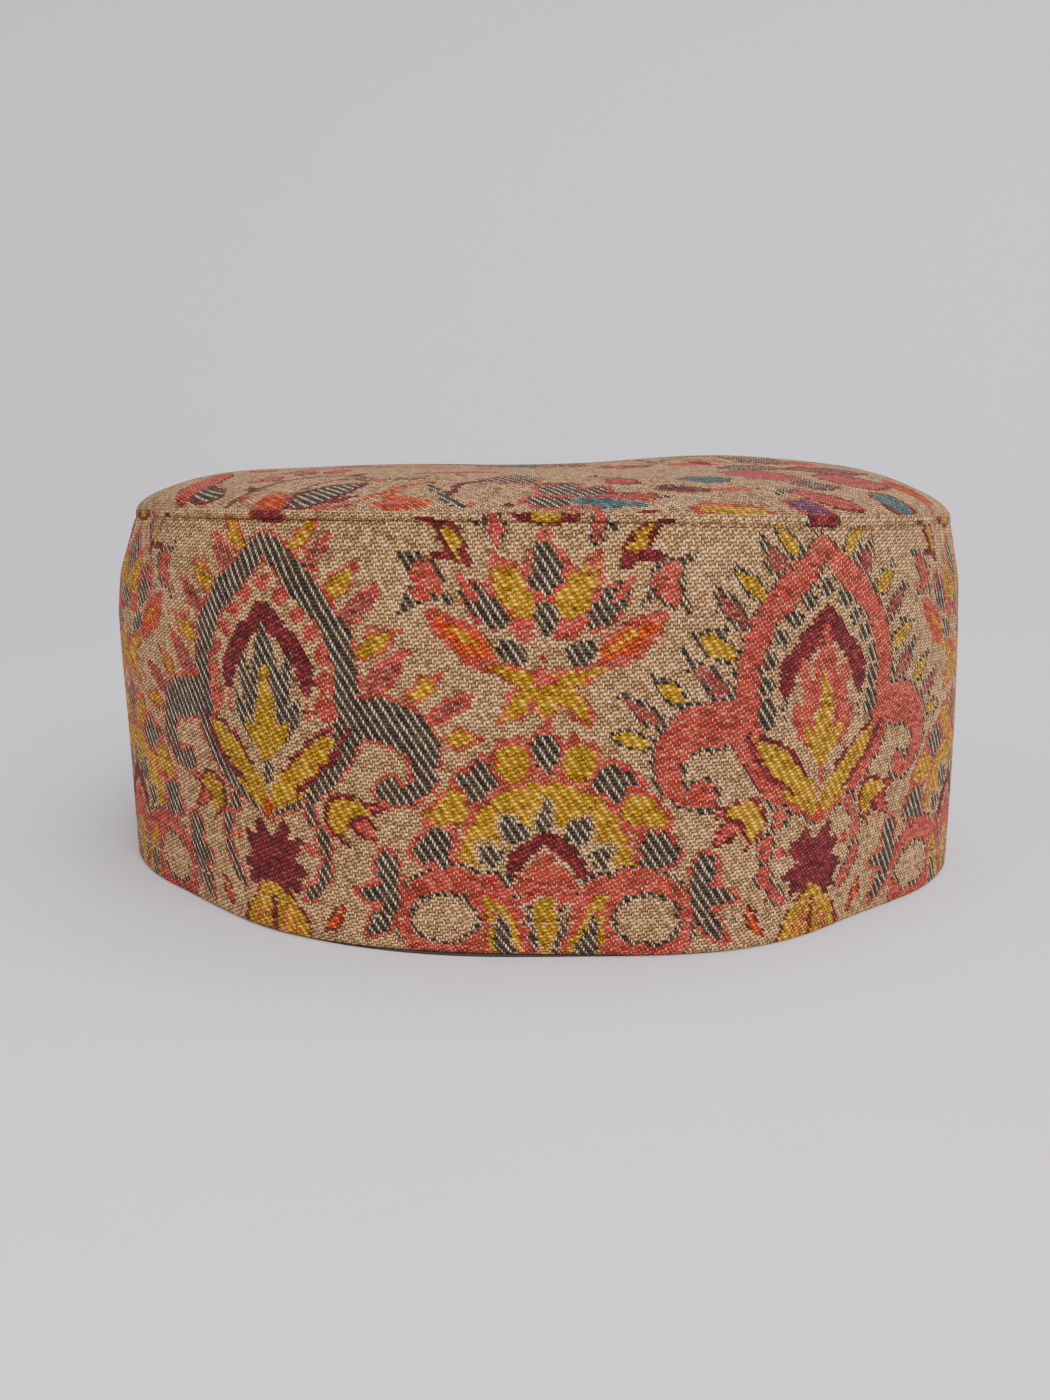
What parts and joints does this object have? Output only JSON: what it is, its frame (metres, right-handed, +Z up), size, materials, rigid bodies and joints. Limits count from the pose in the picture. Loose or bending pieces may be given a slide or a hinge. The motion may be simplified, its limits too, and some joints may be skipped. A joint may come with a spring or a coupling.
{
  "type": "kani cap",
  "caption": "Round flat-topped wool cap in patterned kani twill: upright side band, soft domed crown with a rolled seam, and a dark lining. It stands on its rim.",
  "frame": {"origin": "on the surface the cap stands on, below the middle of the cap's box", "axes": "+Z up, -Y the front of the cap as pictured, +X its right side as seen from the front"},
  "size_m": [0.1907, 0.1825, 0.0883],
  "materials": {
    "kani_cloth": "matt wool twill with a woven pattern in coral, dark olive, yellow and maroon on beige",
    "crown_cloth": "matt wool twill, beige with small leaves on thin vines",
    "seam_cloth": "the same beige twill, rolled along the seam",
    "lining_cloth": "plain dark cotton"
  },
  "bodies": {
    "root": {"side_band": "kani_cloth", "crown_panel": "crown_cloth", "seam_lip": "seam_cloth", "lining": "lining_cloth"}
  },
  "joints": []
}
